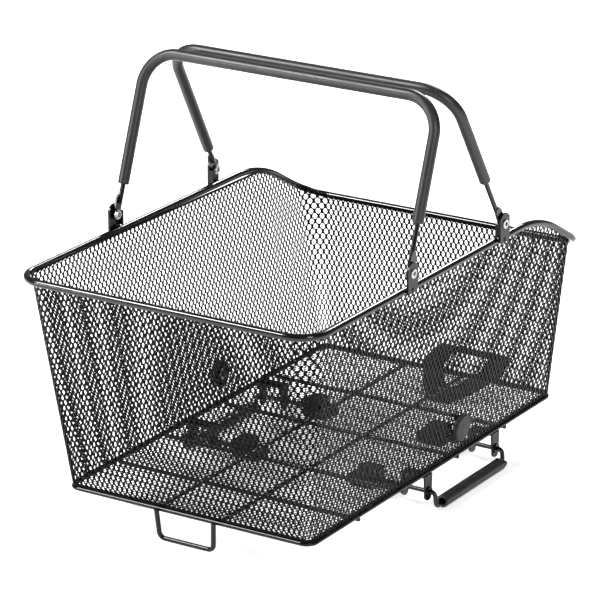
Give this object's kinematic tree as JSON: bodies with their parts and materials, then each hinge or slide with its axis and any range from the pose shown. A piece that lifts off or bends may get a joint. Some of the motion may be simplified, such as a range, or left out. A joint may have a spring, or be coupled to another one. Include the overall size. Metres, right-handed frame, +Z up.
{
  "type": "bicycle carrier basket",
  "caption": "Rectangular expanded-mesh basket for a bicycle carrier, with folding foam-gripped carrying handles, a lowered saddle end and spring rail clamps.",
  "frame": {"origin": "on the plane of the carrier's deck, where the cross wires rest on the rails, below the middle of the rim", "axes": "+X to the rider's right, +Y to the saddle, +Z up"},
  "size_m": [0.317, 0.5547, 0.401],
  "materials": {
    "rim_paint": "satin black powder coat",
    "wire_paint": "satin black powder coat",
    "mesh_paint": "satin black powder coat",
    "bracket_paint": "satin black powder coat",
    "handle_paint": "satin black powder coat",
    "hook_plastic": "matt black moulding",
    "zinc": "zinc plated",
    "zinc_wire": "satin black powder coat",
    "spring_steel": "oiled spring steel",
    "foam": "matt closed-cell foam",
    "grip_rubber": "ribbed dark grey",
    "jaw_plastic": "glass-filled black",
    "cap_plastic": "fine grain dark grey"
  },
  "bodies": {
    "basket": {"bottom_frame_wire": "wire_paint", "bracket_tacks": "bracket_paint", "cap_clips": "zinc", "cross_wires": "wire_paint", "front_hook": "hook_plastic", "front_left_bracket": "bracket_paint", "front_right_bracket": "bracket_paint", "front_rim": "rim_paint", "left_clamp_springs": "spring_steel", "left_guides": "bracket_paint", "left_side_cap": "cap_plastic", "long_wires": "wire_paint", "mesh_floor": "mesh_paint", "mesh_front_left_corner": "mesh_paint", "mesh_front_right_corner": "mesh_paint", "mesh_front_wall": "mesh_paint", "mesh_left_shoulder": "mesh_paint", "mesh_left_wall": "mesh_paint", "mesh_rear_left_corner": "mesh_paint", "mesh_rear_right_corner": "mesh_paint", "mesh_rear_wall": "mesh_paint", "mesh_right_shoulder": "mesh_paint", "mesh_right_wall": "mesh_paint", "pivot_rivets": "zinc", "pivot_washers": "zinc", "rear_left_bracket": "bracket_paint", "rear_loop": "wire_paint", "rear_right_bracket": "bracket_paint", "rear_rim": "rim_paint", "right_clamp_springs": "spring_steel", "right_guides": "bracket_paint", "right_side_cap": "cap_plastic"},
    "rear_handle": {"rear_handle_wire": "handle_paint", "rear_handle_foam": "foam"},
    "front_handle": {"front_handle_wire": "handle_paint", "front_handle_foam": "foam"},
    "right_clamp": {"right_clamp_wire": "zinc_wire", "right_clamp_grip": "grip_rubber", "right_clamp_jaws": "jaw_plastic", "right_clamp_collars": "bracket_paint"},
    "left_clamp": {"left_clamp_wire": "zinc_wire", "left_clamp_grip": "grip_rubber", "left_clamp_jaws": "jaw_plastic", "left_clamp_collars": "bracket_paint"}
  },
  "joints": [
    {"name": "rear_handle_pivot", "type": "hinge", "parent": "basket", "child": "rear_handle", "pos_m": [0, -0.0822, 0.2242], "axis": [1, 0, 0], "range_deg": [0, 110]},
    {"name": "front_handle_pivot", "type": "hinge", "parent": "basket", "child": "front_handle", "pos_m": [0, 0.0803, 0.2242], "axis": [-1, 0, 0], "range_deg": [0, 125]},
    {"name": "right_clamp_slide", "type": "slide", "parent": "basket", "child": "right_clamp", "axis": [1, 0, 0], "range_m": [0, 0.014], "stiffness_N_per_m": 900, "springref_m": -0.01, "deforming": ["right_clamp_springs"]},
    {"name": "left_clamp_slide", "type": "slide", "parent": "basket", "child": "left_clamp", "axis": [-1, 0, 0], "range_m": [0, 0.014], "stiffness_N_per_m": 900, "springref_m": -0.01, "deforming": ["left_clamp_springs"]}
  ]
}
